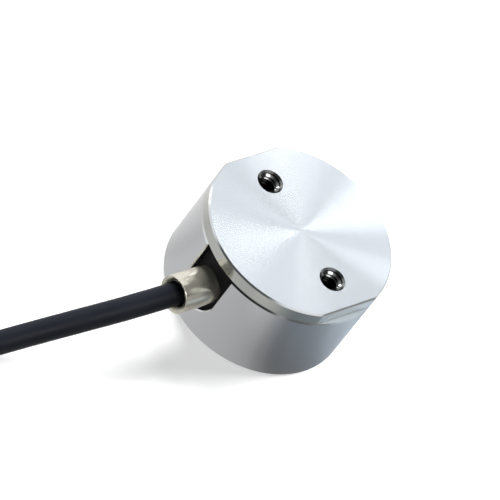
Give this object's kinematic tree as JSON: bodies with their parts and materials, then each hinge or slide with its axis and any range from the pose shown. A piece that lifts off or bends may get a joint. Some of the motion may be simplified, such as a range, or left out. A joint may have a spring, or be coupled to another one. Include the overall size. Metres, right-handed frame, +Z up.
{
  "type": "miniature column load cell",
  "caption": "Low round steel load cell with a flat load plate with tapped holes over a slotted polished housing, and a side gland with a thin black cable.",
  "frame": {"origin": "centre of the base face of the foot, on the axis of the column", "axes": "+Z up along the load axis, X through the two tapped holes, -Y along the gland where the cable leaves"},
  "size_m": [0.0422, 0.1069, 0.0227],
  "materials": {
    "turned_steel": "fine-turned stainless steel",
    "polished_steel": "polished stainless steel",
    "plated_brass": "nickel-plated, satin",
    "black_rubber": "matt",
    "cable_jacket": "matt cable jacket",
    "black_nylon": "matt",
    "gauge_film": "thin film with foil grid",
    "board_laminate": "glass-epoxy laminate",
    "chip_ceramic": "chip with dark coat",
    "copper_wire": "tinned or enamelled copper",
    "core_red": "smooth insulation",
    "core_green": "smooth insulation",
    "core_black": "smooth insulation",
    "core_white": "smooth insulation"
  },
  "bodies": {
    "root": {"spring_element": "turned_steel", "housing_sleeve": "polished_steel", "gland_sleeve": "plated_brass", "gland_grommet": "black_rubber", "crimp_ring": "plated_brass", "dust_seal": "black_rubber", "slot_sealant": "black_rubber", "terminal_board": "board_laminate", "trim_resistors": "chip_ceramic", "gauge_leads": "copper_wire", "cable_run": "cable_jacket", "cable_coil": "cable_jacket", "cable_tail": "cable_jacket", "coil_ties": "black_nylon", "tail_shrink": "black_nylon", "core_red": "core_red", "core_green": "core_green", "core_black": "core_black", "core_white": "core_white", "lead_red": "core_red", "lead_green": "core_green", "lead_black": "core_black", "lead_white": "core_white", "lead_shield": "copper_wire", "strain_gauge_1": "gauge_film", "strain_gauge_2": "gauge_film", "strain_gauge_3": "gauge_film", "strain_gauge_4": "gauge_film"}
  },
  "joints": []
}
